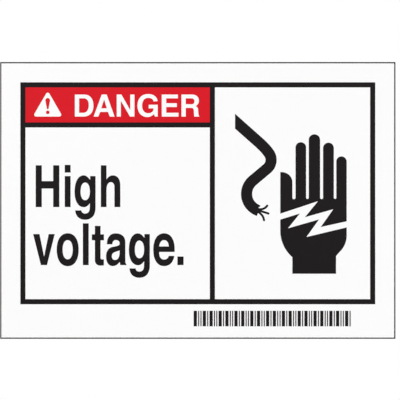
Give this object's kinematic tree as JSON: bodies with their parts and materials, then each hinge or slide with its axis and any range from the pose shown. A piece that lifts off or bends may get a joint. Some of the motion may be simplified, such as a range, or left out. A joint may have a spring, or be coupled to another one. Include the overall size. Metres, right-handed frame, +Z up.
{
  "type": "high voltage danger sign",
  "caption": "Small rectangular self-adhesive danger sign of white film: black frame, red header with an alert triangle, and a shocked hand and broken wire.",
  "frame": {"origin": "centre of the adhesive back face", "axes": "+X to the reader's right along the width, +Z up the sign, +Y out of the adhesive back towards the surface it is stuck to; the printed face looks towards -Y"},
  "size_m": [0.127, 0.0002, 0.0888],
  "materials": {
    "white_film": "satin white printed film",
    "black_ink": "solid black ink, satin",
    "red_ink": "solid safety red ink, satin"
  },
  "bodies": {
    "root": {"sheet": "white_film", "edge_line": "black_ink", "black_frame": "black_ink", "header_field": "red_ink", "alert_mark": "red_ink", "hand_symbol": "black_ink", "wire_symbol": "black_ink", "bar_row": "black_ink"}
  },
  "joints": []
}
